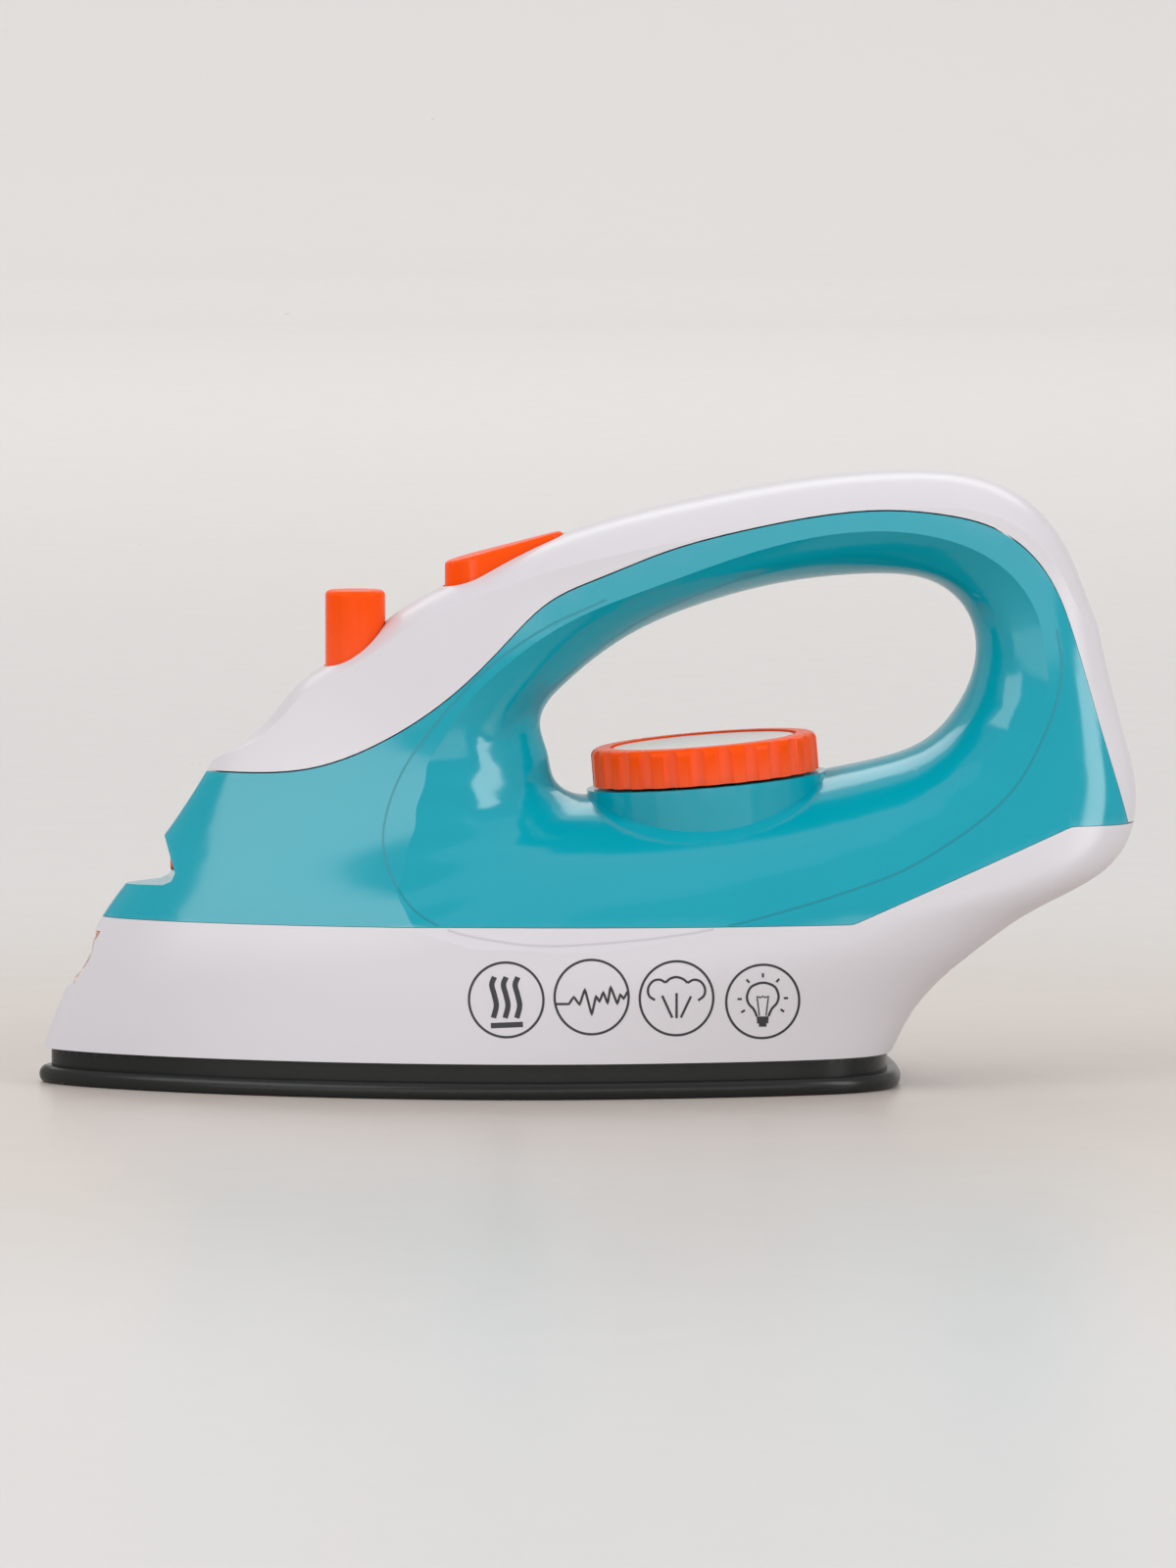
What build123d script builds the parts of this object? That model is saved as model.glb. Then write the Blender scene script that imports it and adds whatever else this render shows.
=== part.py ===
"""Toy steam iron: hollow shells, sole, buttons, dial, pump, sound board and battery bay.

Frame: nose toward -X, heel toward +X, left flank toward -Y, resting on z = 0.
All sizes are in millimetres.
"""
import math
import os

from build123d import *

os.makedirs("parts", exist_ok=True)

# ---------------------------------------------------------------- driving sizes
wall = 2.0
seam = 0.3
deck_level = 7.3
skirt_top = 34.6
heel_seam = 54.2

# level, nose x, heel x, half width of the body
body_sections = (
    (4.0, -114.6, 61.5, 45.7),
    (12.0, -112.6, 65.6, 45.6),
    (20.0, -109.3, 71.4, 45.2),
    (28.0, -105.6, 80.8, 44.4),
    (35.0, -101.6, 90.8, 42.6),
    (41.0, -97.3, 102.6, 39.8),
    (46.5, -92.9, 110.4, 36.5),
    (53.0, -87.8, 114.0, 32.6),
    (61.0, -82.4, 114.8, 28.4),
    (73.0, -75.5, 112.3, 23.4),
    (88.0, -67.5, 108.4, 19.2),
    (104.0, -60.0, 104.6, 16.8),
    (120.0, -53.0, 101.0, 15.8),
    (136.0, -46.0, 98.0, 15.0),
)
# unit curves of half a plan outline: nose tip to widest point, widest point to heel
nose_curve = ((0.0, 0.0), (0.0, 0.30), (0.50, 1.0), (1.0, 1.0))
heel_curve = ((0.0, 1.0), (0.51, 1.0), (1.0, 0.70), (1.0, 0.92), (1.0, 0.07), (1.0, 0.0))

# level above which the nose is rounded into the cover's crest
nose_shoulder = 64.8

# crest of the cover and handle: x, z, depth of the rounding
crest_stations = (
    (-86.0, 57.5, 3.0),
    (-80.2, 65.2, 4.0),
    (-77.0, 68.5, 5.0),
    (-71.5, 71.8, 6.0),
    (-65.7, 77.2, 7.0),
    (-60.6, 83.3, 8.0),
    (-56.0, 86.7, 9.0),
    (-49.0, 90.9, 10.0),
    (-41.0, 97.4, 11.0),
    (-25.0, 106.2, 12.0),
    (-4.1, 115.0, 12.5),
    (20.5, 121.6, 13.0),
    (45.2, 126.1, 13.0),
    (66.7, 127.7, 13.0),
    (82.1, 126.1, 12.5),
    (94.0, 119.7, 12.0),
    (101.3, 109.5, 12.0),
    (106.3, 97.0, 12.0),
    (111.0, 80.0, 12.0),
)

# hand opening: narrowest outline on the mid plane and its flared rim on the flank
throat = (
    (-10.0, 74.0), (-6.5, 81.5), (6.8, 92.2), (22.0, 99.2),
    (40.8, 104.2), (60.0, 106.0), (72.5, 104.2), (79.9, 97.4),
    (81.3, 88.0), (78.0, 79.0), (70.0, 70.6), (56.0, 66.2),
    (38.0, 63.0), (18.0, 60.8), (2.0, 60.0), (-7.0, 63.0),
)
rim = (
    (-36.5, 69.0), (-25.0, 82.4), (-8.0, 96.0), (14.0, 104.6),
    (36.3, 111.8), (58.0, 115.4), (77.0, 113.2), (92.0, 103.0),
    (98.2, 86.0), (92.0, 68.5), (80.0, 56.8), (62.0, 47.2),
    (42.0, 39.2), (16.6, 33.5), (-14.0, 32.0), (-40.0, 43.5),
)
flare_depths = (0, 5, 10, 14, 17, 20, 24, 28, 32, 36, 40, 44, 50)
flare_points = 40
# how far past its rim the opening still widens outside the body, as a share of its flare
flare_limit = 1.2

# lower edge of the white cover in side view
cover_edge = (
    (-92.0, 65.0), (-75.7, 65.2), (-58.4, 66.4), (-44.3, 71.7),
    (-28.8, 81.9), (-17.5, 92.8), (-8.5, 101.2), (2.4, 106.3),
    (15.1, 111.4), (32.0, 116.0), (48.9, 119.1), (61.6, 120.0),
    (74.2, 118.9), (83.6, 116.4), (91.6, 111.0), (97.0, 103.7),
    (101.0, 93.5), (106.0, 76.0), (112.0, 55.3), (114.5, 46.0),
)

dial_centre = (24.8, 0.0, 63.4)
dial_tilt = 4.7
dial_radius = 23.7
dial_height = 7.9
dial_flutes = 26
boss_radius = 25.2
spindle_radius = 3.5
spindle_tip_radius = 2.5

pump_x = -48.75
pump_stroke = 5.0

door_pivot = (-17.6, 1.2)
cell_radius = 7.25
cell_centres = (-8.6, 7.0, 22.6)
cell_level = 9.95

speaker_x = -46.0
speaker_radius = 18.0

sole_screw_spots = ((-103.5, 0.0), (-27.0, 37.0), (-27.0, -37.0), (50.0, 24.0), (50.0, -24.0))
board_post_spots = ((-61.0, 21.0), (-61.0, -21.0), (-31.0, 21.0), (-31.0, -21.0))
# x, z and head seat y of the screws that join the two side shells
shell_screw_spots = (
    (-66.0, 53.0, 13.0),
    (-28.0, 52.0, 16.0),
    (72.0, 55.0, 17.0),
    (91.5, 84.0, 8.0),
    (26.0, 108.5, 9.0),
)


# ---------------------------------------------------------------- shared shapes
def keep(builder, label):
    """Label a finished piece and write its file."""
    builder.part.label = label
    export_step(builder.part, "parts/" + label + ".step")


def widest(level):
    """Station along x where the body is widest at a level."""
    return -6.0 + 0.45 * (level - 7.0)


def plan_curves(level, nose, heel, half):
    """Pole points of the two curves that run round the right side of a plan outline."""
    mid = widest(level)
    front = [(nose + u * (mid - nose), v * half) for u, v in nose_curve]
    back = [(mid + u * (heel - mid), v * half) for u, v in heel_curve]
    return front, back


def plan_outline(level, nose, heel, half):
    """Closed symmetric plan outline at a level."""
    front, back = plan_curves(level, nose, heel, half)
    with BuildSketch(Plane.XY.offset(level)) as plan:
        with BuildLine():
            Bezier(*front)
            Bezier(*back)
            Bezier(*[(x, -y) for x, y in reversed(back)])
            Bezier(*[(x, -y) for x, y in reversed(front)])
        make_face()
    return plan.sketch


def curve_point(poles, t):
    """Point of a Bezier curve at parameter t."""
    n = len(poles) - 1
    x = sum(math.comb(n, i) * (1 - t) ** (n - i) * t**i * p[0] for i, p in enumerate(poles))
    y = sum(math.comb(n, i) * (1 - t) ** (n - i) * t**i * p[1] for i, p in enumerate(poles))
    return x, y


def section_value(level, column):
    """Value of a column of the section table at a level."""
    for low, high in zip(body_sections, body_sections[1:]):
        if level <= high[0]:
            break
    share = (level - low[0]) / (high[0] - low[0])
    return low[column] + share * (high[column] - low[column])


def half_width(x, level):
    """Half width of the body at a station and level."""
    nose, heel, half = (section_value(level, i) for i in (1, 2, 3))
    front, back = plan_curves(level, nose, heel, half)
    poles = front if x < widest(level) else back
    low, high = 0.0, 1.0
    for _ in range(30):
        middle = (low + high) / 2
        if curve_point(poles, middle)[0] < x:
            low = middle
        else:
            high = middle
    return curve_point(poles, low)[1]


def plan_stack(inset):
    """Solid through the plan outlines, each drawn in by the inset."""
    with BuildPart() as stack:
        loft(
            [
                plan_outline(level, nose + inset, heel - inset, half - inset)
                for level, nose, heel, half in body_sections
            ]
        )
    return stack.part


def crest_shaver(inset):
    """Everything above the arched crest of the cover and handle."""
    with BuildLine() as path:
        Spline(*[(x, 0, z) for x, z, depth in crest_stations])
    crest = path.edges()[0]
    with BuildPart() as shaver:
        for x, z, depth in crest_stations:
            along = crest.tangent_at(crest.param_at_point((x, 0, z)))
            outward = Vector(-along.Z, 0, along.X)
            foot_x = min(x - outward.X * depth, 101.0)
            foot_z = z - outward.Z * depth
            half = max(half_width(foot_x, foot_z) + 1.2, 8.5) - inset
            plane = Plane(
                origin=Vector(x, 0, z) - outward * inset, x_dir=(0, 1, 0), z_dir=along
            )
            up = 1 if plane.y_dir.dot(outward) > 0 else -1
            with BuildSketch(plane):
                with BuildLine():
                    Bezier(
                        (-half, -up * depth), (-half, -up * depth * 0.42), (-half * 0.58, 0), (0, 0)
                    )
                    Bezier(
                        (0, 0), (half * 0.58, 0), (half, -up * depth * 0.42), (half, -up * depth)
                    )
                    Polyline(
                        (half, -up * depth), (60, -up * depth), (60, up * 18),
                        (-60, up * 18), (-60, -up * depth), (-half, -up * depth),
                    )
                make_face()
        loft()
        # the nose below the cover keeps its own slope
        add(block(-130, -70, -70, 70, 0, nose_shoulder), mode=Mode.SUBTRACT)
    return shaver.part


def even_loop(points):
    """Evenly numbered points round the smooth closed curve through some points."""
    steps = [i / len(points) for i in range(len(points) + 1)]
    loop = Edge.make_spline(points, periodic=True, parameters=steps)
    return [loop @ (i / flare_points) for i in range(flare_points)]


def flare(inset):
    """Hand opening that widens from the throat to the rim on both flanks."""
    depths = [-y for y in reversed(flare_depths[1:])] + list(flare_depths)
    steps = [i / flare_points for i in range(flare_points + 1)]
    spokes = list(zip(even_loop(throat), even_loop(rim)))
    reaches = [half_width(outer_end.X, outer_end.Y) for inner_end, outer_end in spokes]
    # each spoke's reach is evened out with its neighbours', so the flare stays smooth
    for _ in range(4):
        reaches = [
            (reaches[i - 1] + 2 * reaches[i] + reaches[(i + 1) % flare_points]) / 4
            for i in range(flare_points)
        ]
    with BuildPart() as opening:
        for y in depths:
            outline = []
            for (inner_end, outer_end), reach in zip(spokes, reaches):
                u = (abs(y) + inset) / reach
                growth = 0.75 * u**1.9 + 0.25 * u**9
                spread = growth / (1 + (growth / flare_limit) ** 8) ** 0.125
                spoke = outer_end - inner_end
                point = inner_end + spoke * (spread + inset / spoke.length)
                outline.append((point.X, point.Y))
            with BuildSketch(Plane(origin=(0, y, 0), x_dir=(1, 0, 0), z_dir=(0, -1, 0))):
                with BuildLine():
                    add(Edge.make_spline(outline, periodic=True, parameters=steps))
                make_face()
        loft()
    return opening.part


def side_prism(points, half_depth=70):
    """Prism across the body from a closed polygon in side view."""
    with BuildPart() as prism:
        with BuildSketch(Plane.XZ):
            with BuildLine():
                Polyline(*points, close=True)
            make_face()
        extrude(amount=half_depth, both=True)
    return prism.part


def envelope(inset):
    """Left half of the smooth body with its hand opening, drawn in by the inset."""
    with BuildPart() as body:
        add(plan_stack(inset))
        add(block(-130, 130, -60, 0, 0, 140), mode=Mode.INTERSECT)
        add(
            side_prism(
                (
                    (-130, 0), (130, 0), (130, 110), (92, 138), (30, 138),
                    (-20, 122), (-55, 100), (-80, 80), (-130, 70),
                )
            ),
            mode=Mode.INTERSECT,
        )
        add(crest_shaver(inset), mode=Mode.SUBTRACT)
        add(flare(inset), mode=Mode.SUBTRACT)
    return body.part


def drill(x, y, low, high, radius):
    """Upright cutter for a round hole."""
    with BuildPart() as cutter:
        with BuildSketch(Plane.XY.offset(low)):
            with Locations((x, y)):
                Circle(radius)
        extrude(amount=high - low)
    return cutter.part


def cross_rod(x, z, start, end, radius):
    """Round bar across the body, parallel to y."""
    with BuildPart() as rod:
        with BuildSketch(Plane(origin=(x, start, z), x_dir=(1, 0, 0), z_dir=(0, 1, 0))):
            Circle(radius)
        extrude(amount=end - start)
    return rod.part


def block(x0, x1, y0, y1, z0, z1):
    """Box between two corners."""
    with BuildPart() as solid:
        with Locations(((x0 + x1) / 2, (y0 + y1) / 2, (z0 + z1) / 2)):
            Box(x1 - x0, y1 - y0, z1 - z0)
    return solid.part


def corner_radii(points):
    """Bend radius for each corner of a route, as large as its two runs allow."""
    radii = []
    for before, corner, after in zip(points, points[1:], points[2:]):
        run_in = Vector(corner) - Vector(before)
        run_out = Vector(after) - Vector(corner)
        turn = math.radians(run_in.get_angle(run_out))
        radii.append(min(0.45 * min(run_in.length, run_out.length) / math.tan(turn / 2), 25.0))
    return radii


def tube_along(points, radius, bore=0.0):
    """Round wire or tube along straight runs joined by arcs."""
    with BuildPart() as run:
        with BuildLine() as path:
            FilletPolyline(*points, radius=corner_radii(points))
        first = Vector(points[1]) - Vector(points[0])
        with BuildSketch(Plane(origin=points[0], z_dir=first)):
            Circle(radius)
            if bore:
                Circle(bore, mode=Mode.SUBTRACT)
        sweep()
    return run.part


def coil(x, y, z, length, radius, turns, wire, direction=(0, 0, 1)):
    """Helical spring standing on a point and wound along a direction."""
    with BuildPart() as spring:
        with BuildLine() as path:
            Helix(
                pitch=(length - 2 * wire) / turns,
                height=length - 2 * wire,
                radius=radius,
                center=(x, y, z),
                direction=direction,
            )
        start = path.line.edges()[0]
        with BuildSketch(Plane(origin=start @ 0, z_dir=start % 0)):
            Circle(wire)
        sweep()
    return spring.part


def small_screw(plane, head_radius, head_height, shank_radius, shank_length):
    """Pan head screw: the head grows along the plane normal, the shank against it."""
    with BuildPart() as screw:
        with BuildSketch(plane):
            Circle(head_radius)
        extrude(amount=head_height)
        top = screw.faces().sort_by(Axis(plane.origin, plane.z_dir))[-1]
        fillet(top.edges(), head_height * 0.35)
        with BuildSketch(plane):
            Circle(shank_radius)
        extrude(amount=-shank_length)
        with BuildSketch(plane.offset(head_height)):
            Rectangle(head_radius * 1.1, head_radius * 0.28)
            Rectangle(head_radius * 0.28, head_radius * 1.1)
        extrude(amount=-head_height * 0.5, mode=Mode.SUBTRACT)
    return screw.part


dial_plane = Plane(
    origin=dial_centre,
    x_dir=(math.cos(math.radians(dial_tilt)), 0, math.sin(math.radians(dial_tilt))),
    z_dir=(-math.sin(math.radians(dial_tilt)), 0, math.cos(math.radians(dial_tilt))),
)


def on_dial_axis(low, high, radius):
    """Round bar on the dial axis between two heights above the dial's base."""
    with BuildPart() as bar:
        with BuildSketch(dial_plane.offset(low)):
            Circle(radius)
        extrude(amount=high - low)
    return bar.part


# ---------------------------------------------------------------- body envelopes
notch_points = (
    (-110.0, 41.4), (-97.0, 41.6), (-89.4, 41.9), (-87.6, 42.7), (-86.8, 44.3), (-88.9, 52.1),
    (-96.0, 57.0), (-110.0, 57.0),
)
notch_guard = (
    (-110.0, 39.4), (-88.6, 39.7), (-85.6, 41.2), (-84.7, 44.2), (-86.6, 52.5), (-110.0, 52.5),
)
lens_face = ((-109.5, 19.6), (-106.1, 23.0), (-104.0, 26.8), (-103.2, 31.0), (-102.7, 33.4))
lens_half_width = 3.8
lens_recess = ((-116.0, 19.4),) + lens_face + ((-116.0, 33.6),)
lens_guard = (
    (-116.0, 16.5), (-107.6, 16.5), (-107.3, 18.9), (-104.1, 22.2), (-101.9, 26.4), (-100.9, 33.8),
    (-116.0, 36.0),
)

with BuildPart() as half_boss:
    add(on_dial_axis(-18.0, -0.5, boss_radius))
    add(block(-130, 130, -60, 0, 0, 140), mode=Mode.INTERSECT)

with BuildPart() as half_boss_room:
    add(on_dial_axis(-18.0, -0.5 - wall, boss_radius - wall))
    add(block(-130, 130, -60, 0, 0, 140), mode=Mode.INTERSECT)

with BuildPart() as outer:
    add(envelope(0.0))
    add(half_boss.part)
    add(side_prism(notch_points), mode=Mode.SUBTRACT)
    add(side_prism(lens_recess), mode=Mode.SUBTRACT)

with BuildPart() as cavity:
    add(envelope(wall))
    add(half_boss_room.part)
    add(side_prism(notch_guard), mode=Mode.SUBTRACT)
    add(side_prism(lens_guard), mode=Mode.SUBTRACT)

with BuildPart() as shell:
    add(outer.part)
    add(cavity.part, mode=Mode.SUBTRACT)

with BuildPart() as within_wall:
    add(envelope(wall / 2))
    mirror(about=Plane.XZ)


def below_cover(gap):
    """Side region in front of and below the cover's lower edge."""
    with BuildPart() as region:
        with BuildSketch(Plane.XZ):
            with BuildLine():
                Spline(*[(x, z - gap) for x, z in cover_edge])
                Polyline(
                    (cover_edge[-1][0], cover_edge[-1][1] - gap), (114.5, 0), (-130, 0),
                    (-130, cover_edge[0][1] - gap), (cover_edge[0][0], cover_edge[0][1] - gap),
                )
            make_face()
        extrude(amount=70, both=True)
    return region.part


def below_skirt_line(gap):
    """Side region below the top edge of the lower housing."""
    with BuildPart() as region:
        with BuildSketch(Plane.XZ):
            with BuildLine():
                FilletPolyline(
                    (-130, skirt_top - gap), (53, 35.3 - gap), (99.7, heel_seam + 0.2 - gap),
                    (130, heel_seam - gap), radius=5,
                )
                Polyline((130, heel_seam - gap), (130, 0), (-130, 0), (-130, skirt_top - gap))
            make_face()
        extrude(amount=70, both=True)
    return region.part


# ---------------------------------------------------------------- lower housing
with BuildPart() as lower_housing:
    add(shell.part)
    add(below_skirt_line(0.0), mode=Mode.INTERSECT)
    add(block(-130, 130, -60, 60, deck_level, 80), mode=Mode.INTERSECT)
    mirror(about=Plane.XZ)
    with BuildPart(mode=Mode.PRIVATE) as ribs:
        add(block(-112, -103.5, -1, 1, 8, 17))
        for side in (1, -1):
            add(block(-28, -26, min(37 * side, 46 * side), max(37 * side, 46 * side), 8, 20))
            add(block(49, 51, min(24 * side, 40 * side), max(24 * side, 40 * side), 8, 20))
        add(block(-97.0, -95.2, -40, 40, 22.5, 33.5))
        add(within_wall.part, mode=Mode.INTERSECT)
    add(ribs.part)
    for x, y in sole_screw_spots:
        add(drill(x, y, 4.8, 20, 3.6))
    for x, y in sole_screw_spots:
        add(drill(x, y, 4.0, 16, 1.45), mode=Mode.SUBTRACT)
    with BuildSketch(Plane(origin=(-98, 0, 27.0), x_dir=(0, 1, 0), z_dir=(1, 0, 0))):
        Circle(2.65)
    extrude(amount=4, mode=Mode.SUBTRACT)
    add(
        side_prism(
            ((-112.0, 20.9), (-108.4, 20.9), (-98.0, 20.9), (-98.0, 31.8), (-112.0, 31.8)),
            half_depth=lens_half_width + 0.1,
        ),
        mode=Mode.SUBTRACT,
    )
keep(lower_housing, "lower_housing")

with BuildPart() as nose_lens:
    with BuildSketch(Plane.XZ):
        with BuildLine():
            Spline(*lens_face)
            Line(lens_face[-1], (lens_face[-1][0] + 2.0, lens_face[-1][1]))
            Spline(*[(x + 2.0, z) for x, z in reversed(lens_face)])
            Line((lens_face[0][0] + 2.0, lens_face[0][1]), lens_face[0])
        make_face()
    extrude(amount=lens_half_width, both=True)
    add(block(-112, -98, -5, 5, 21.0, 31.7), mode=Mode.INTERSECT)
keep(nose_lens, "nose_light_lens")


# ---------------------------------------------------------------- side shells
with BuildPart() as side_shell_left:
    add(shell.part)
    add(below_skirt_line(-0.1), mode=Mode.SUBTRACT)
    add(below_cover(seam / 2), mode=Mode.INTERSECT)
    with BuildPart(mode=Mode.PRIVATE) as bosses:
        for x, z, seat in shell_screw_spots:
            add(cross_rod(x, z, -50, 0, 4.2))
        add(within_wall.part, mode=Mode.INTERSECT)
    add(bosses.part)
    for x, z, seat in shell_screw_spots:
        add(cross_rod(x, z, -10, 10, 1.45), mode=Mode.SUBTRACT)
    add(block(-130, 130, -60, -0.05, 0, 140), mode=Mode.INTERSECT)
    add(on_dial_axis(-4.0, 1.0, spindle_radius + 0.4), mode=Mode.SUBTRACT)
    with BuildSketch(Plane(origin=(-90, 0, 46.4), x_dir=(0, 1, 0), z_dir=(1, 0, 0))):
        Circle(2.2)
    extrude(amount=8, mode=Mode.SUBTRACT)
keep(side_shell_left, "side_shell_left")

# the other flank is the mirror image, with recessed screw seats through its bosses
with BuildPart() as side_shell_right:
    add(mirror(side_shell_left.part, about=Plane.XZ))
    for x, z, seat in shell_screw_spots:
        add(cross_rod(x, z, -1, seat + 1, 1.45), mode=Mode.SUBTRACT)
        add(cross_rod(x, z, seat, 60, 2.9), mode=Mode.SUBTRACT)
keep(side_shell_right, "side_shell_right")


def button_outline(grow):
    """Plan of the slanted trigger: round in front, tapering to the rear."""
    with BuildSketch(mode=Mode.PRIVATE) as plan:
        with Locations((-23.6, 0)):
            Circle(6.4 + grow)
        with Locations((-8.2, 0)):
            Circle(3.0 + grow)
        make_hull()
    return plan.sketch


# ---------------------------------------------------------------- top cover
trigger_pivot = (-10.5, 107.6)
with BuildPart() as top_cover:
    add(shell.part)
    add(below_skirt_line(-0.3), mode=Mode.SUBTRACT)
    add(below_cover(-seam / 2), mode=Mode.SUBTRACT)
    mirror(about=Plane.XZ)
    with BuildPart(mode=Mode.PRIVATE) as lugs:
        for y in (-5.6, 3.8):
            add(block(-12.6, -8.4, y, y + 1.8, 105.4, 116))
        add(within_wall.part, mode=Mode.INTERSECT)
    add(lugs.part)
    add(cross_rod(trigger_pivot[0], trigger_pivot[1], -7, 7, 1.05), mode=Mode.SUBTRACT)
    with BuildSketch(Plane.XY.offset(75)):
        with Locations((pump_x, 0)):
            RectangleRounded(13.1, 13.1, 5.9)
    extrude(amount=35, mode=Mode.SUBTRACT)
    with BuildSketch(Plane.XY.offset(98)):
        add(button_outline(0.4))
    extrude(amount=25, mode=Mode.SUBTRACT)
    with BuildPart(mode=Mode.PRIVATE) as cover_bulk:
        add(top_cover.part.solids().sort_by(SortBy.VOLUME)[-1])
    add(cover_bulk.part, mode=Mode.REPLACE)
keep(top_cover, "top_cover")

# ---------------------------------------------------------------- soleplate
speaker_clamp_angles = (90, 210, 330)
# level and inset of the rounded rim
sole_rim = ((0.0, 1.1), (0.4, 0.35), (1.2, 0.0), (2.2, 0.0), (3.0, 0.4), (3.6, 1.4))
plug_x = -84.0
with BuildPart() as soleplate:
    loft(
        [
            plan_outline(level, -115.0 + inset, 65.0 - inset, 47.3 - inset)
            for level, inset in sole_rim
        ]
    )
    add(plan_outline(3.4, -112.5, 62.3, 44.4))
    extrude(amount=3.8)
    add(plan_outline(2.4, -109.8, 59.8, 42.2))
    extrude(amount=6, mode=Mode.SUBTRACT)
    for x, y in sole_screw_spots:
        add(drill(x, y, 2.0, 4.7, 4.4))
    for x, y in board_post_spots:
        add(drill(x, y, 2.0, 25.9, 2.8))
    with BuildSketch(Plane.XY.offset(2.0)):
        with Locations((speaker_x, 0)):
            for angle in speaker_clamp_angles:
                with Locations(
                    (
                        21.3 * math.cos(math.radians(angle)),
                        21.3 * math.sin(math.radians(angle)),
                    )
                ):
                    Circle(2.4)
    extrude(amount=1.9)
    with BuildSketch(Plane.XY.offset(2.0)):
        with Locations((-94.0, 0), (-73.0, 0)):
            Rectangle(4, 16)
    extrude(amount=2.9)
    # screw holes from below, each with a wide recess for the head
    for x, y in sole_screw_spots:
        add(drill(x, y, -1, 2.6, 3.1), mode=Mode.SUBTRACT)
        add(drill(x, y, 0, 6, 1.6), mode=Mode.SUBTRACT)
    for x, y in board_post_spots:
        add(drill(x, y, 12, 30, 1.05), mode=Mode.SUBTRACT)
    for angle in speaker_clamp_angles:
        spot = Rotation(0, 0, angle) * Pos(21.3, 0, 0)
        add(
            drill(speaker_x + spot.position.X, spot.position.Y, 2.6, 5.0, 0.95),
            mode=Mode.SUBTRACT,
        )
    with BuildSketch():
        with Locations((speaker_x, 0)):
            with HexLocations(3.1, 5, 5):
                Circle(1.1)
    extrude(amount=4, mode=Mode.SUBTRACT)
    add(block(-18.8, 42.8, -30.3, 30.3, -1, 4), mode=Mode.SUBTRACT)
    add(cross_rod(door_pivot[0], door_pivot[1], -32.2, 32.2, 0.75), mode=Mode.SUBTRACT)
    add(drill(plug_x, 0, -1, 4, 6.1), mode=Mode.SUBTRACT)
keep(soleplate, "soleplate")

with BuildPart() as sole_screws:
    for x, y in sole_screw_spots:
        plane = Plane(origin=(x, y, 2.55), x_dir=(1, 0, 0), z_dir=(0, 0, -1))
        add(small_screw(plane, 2.7, 1.7, 1.4, 12.0))
keep(sole_screws, "sole_screws")

# ---------------------------------------------------------------- battery bay
with BuildPart() as battery_box:
    add(block(-21, 44.6, -34, 34, 2.5, 4.0))
    add(block(-18.6, 33.2, -31.3, 31.3, 2.5, 19.4))
    add(block(-17.0, 31.6, -29.8, 29.8, 0, 17.8), mode=Mode.SUBTRACT)
    add(block(34.0, 43.6, -5, 5, 2.5, 12.5))
    add(drill(38.5, 0, 2, 11.0, 1.7), mode=Mode.SUBTRACT)
    for x in (-0.8, 14.8):
        add(block(x - 0.4, x + 0.4, -30.4, 30.4, 14.5, 18.0))
    top = battery_box.faces().filter_by(Axis.Z).sort_by(Axis.Z)[-1]
    fillet(top.edges(), 1.0)
keep(battery_box, "battery_box")

with BuildPart() as battery_cells:
    for i, x in enumerate(cell_centres):
        toward = 1 if i % 2 == 0 else -1
        with BuildPart(mode=Mode.PRIVATE) as cell:
            add(cross_rod(x, cell_level, -24.75, 24.75, cell_radius))
            fillet(cell.edges(), 0.6)
            add(cross_rod(x, cell_level, *sorted((0.0, toward * 25.75)), 2.7))
        add(cell.part)
keep(battery_cells, "battery_cells")

with BuildPart() as battery_contacts:
    for i, x in enumerate(cell_centres):
        toward = 1 if i % 2 == 0 else -1
        add(cross_rod(x, cell_level, *sorted((toward * 29.0, toward * 29.6)), 5.2))
        add(cross_rod(x, cell_level, *sorted((toward * 25.9, toward * 29.2)), 1.6))
        add(cross_rod(x, cell_level, *sorted((toward * -29.0, toward * -29.6)), 5.2))
        add(
            coil(
                x, toward * -28.7, cell_level, 3.5, 3.6, 2.5, 0.35, direction=(0, toward, 0)
            )
        )
keep(battery_contacts, "battery_contacts")

with BuildPart() as battery_door:
    add(block(door_pivot[0], 42.5, -30, 30, 0.3, 2.1))
    add(cross_rod(door_pivot[0], door_pivot[1], -30, 30, 0.9))
    add(cross_rod(door_pivot[0], door_pivot[1], -31.9, 31.9, 0.7))
    for i in range(5):
        x = 16.0 + 3.0 * i
        add(block(x, x + 1.2, -9, 9, 0.0, 0.9), mode=Mode.SUBTRACT)
    add(drill(38.5, 0, -1, 3, 1.45), mode=Mode.SUBTRACT)
    add(drill(38.5, 0, -1, 1.3, 2.9), mode=Mode.SUBTRACT)
keep(battery_door, "battery_door")

with BuildPart() as door_screw:
    plane = Plane(origin=(38.5, 0, 1.3), x_dir=(1, 0, 0), z_dir=(0, 0, -1))
    add(small_screw(plane, 2.6, 0.9, 1.25, 7.5))
keep(door_screw, "battery_door_screw")

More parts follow.
